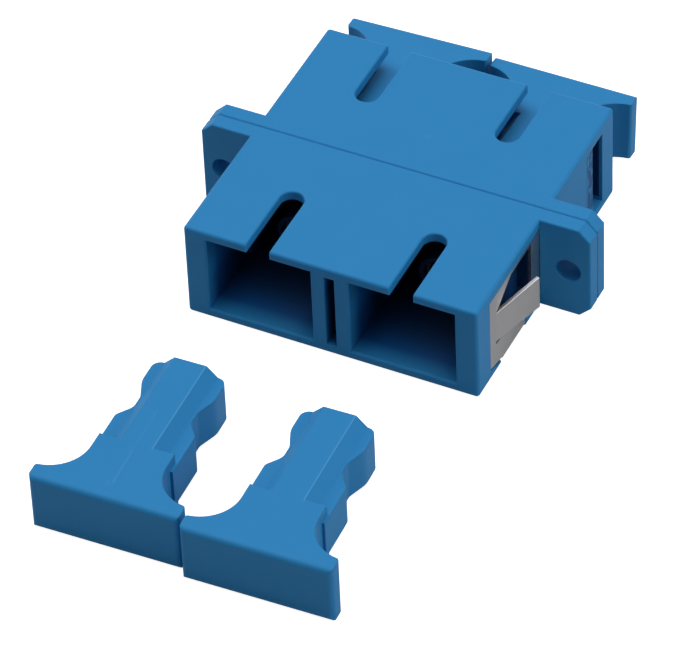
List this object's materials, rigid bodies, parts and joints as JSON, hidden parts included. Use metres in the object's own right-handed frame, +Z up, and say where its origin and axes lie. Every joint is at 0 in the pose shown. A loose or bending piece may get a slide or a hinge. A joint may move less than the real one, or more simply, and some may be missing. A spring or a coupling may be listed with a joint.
{
  "type": "fibre adapter",
  "caption": "Duplex SC fibre adapter with screw ears, a steel panel clip and T-handled dust caps, some fitted and some taken off",
  "frame": {"origin": "midway between the two screw holes, in the seam between the housing halves and at mid-height", "axes": "+X to the right seen from the front ports, +Y from the front ports to the rear ports, +Z up, the side with the key slots"},
  "size_m": [0.0348, 0.0597, 0.0092],
  "materials": {
    "housing": "blue moulded thermoplastic, fine satin",
    "cap": "blue moulded polyethylene, satin",
    "latch": "blue moulded thermoplastic, satin",
    "clip": "stamped stainless spring steel",
    "sleeve": "ground white zirconia"
  },
  "bodies": {
    "adapter": {"front_housing": "housing", "rear_housing": "housing", "panel_clip": "clip", "left_front_latch": "latch", "left_rear_latch": "latch", "right_front_latch": "latch", "right_rear_latch": "latch", "left_sleeve": "sleeve", "right_sleeve": "sleeve", "left_front_cap": "cap", "right_front_cap": "cap"},
    "left_cap": {"left_rear_cap": "cap"},
    "right_cap": {"right_rear_cap": "cap"}
  },
  "joints": [
    {"name": "left_cap_pull", "type": "slide", "parent": "adapter", "child": "left_cap", "axis": [0, 0.9984, -0.0558], "range_m": [0, 0.0115]},
    {"name": "right_cap_pull", "type": "slide", "parent": "adapter", "child": "right_cap", "axis": [0, 0.9976, -0.0698], "range_m": [0, 0.0115]}
  ]
}
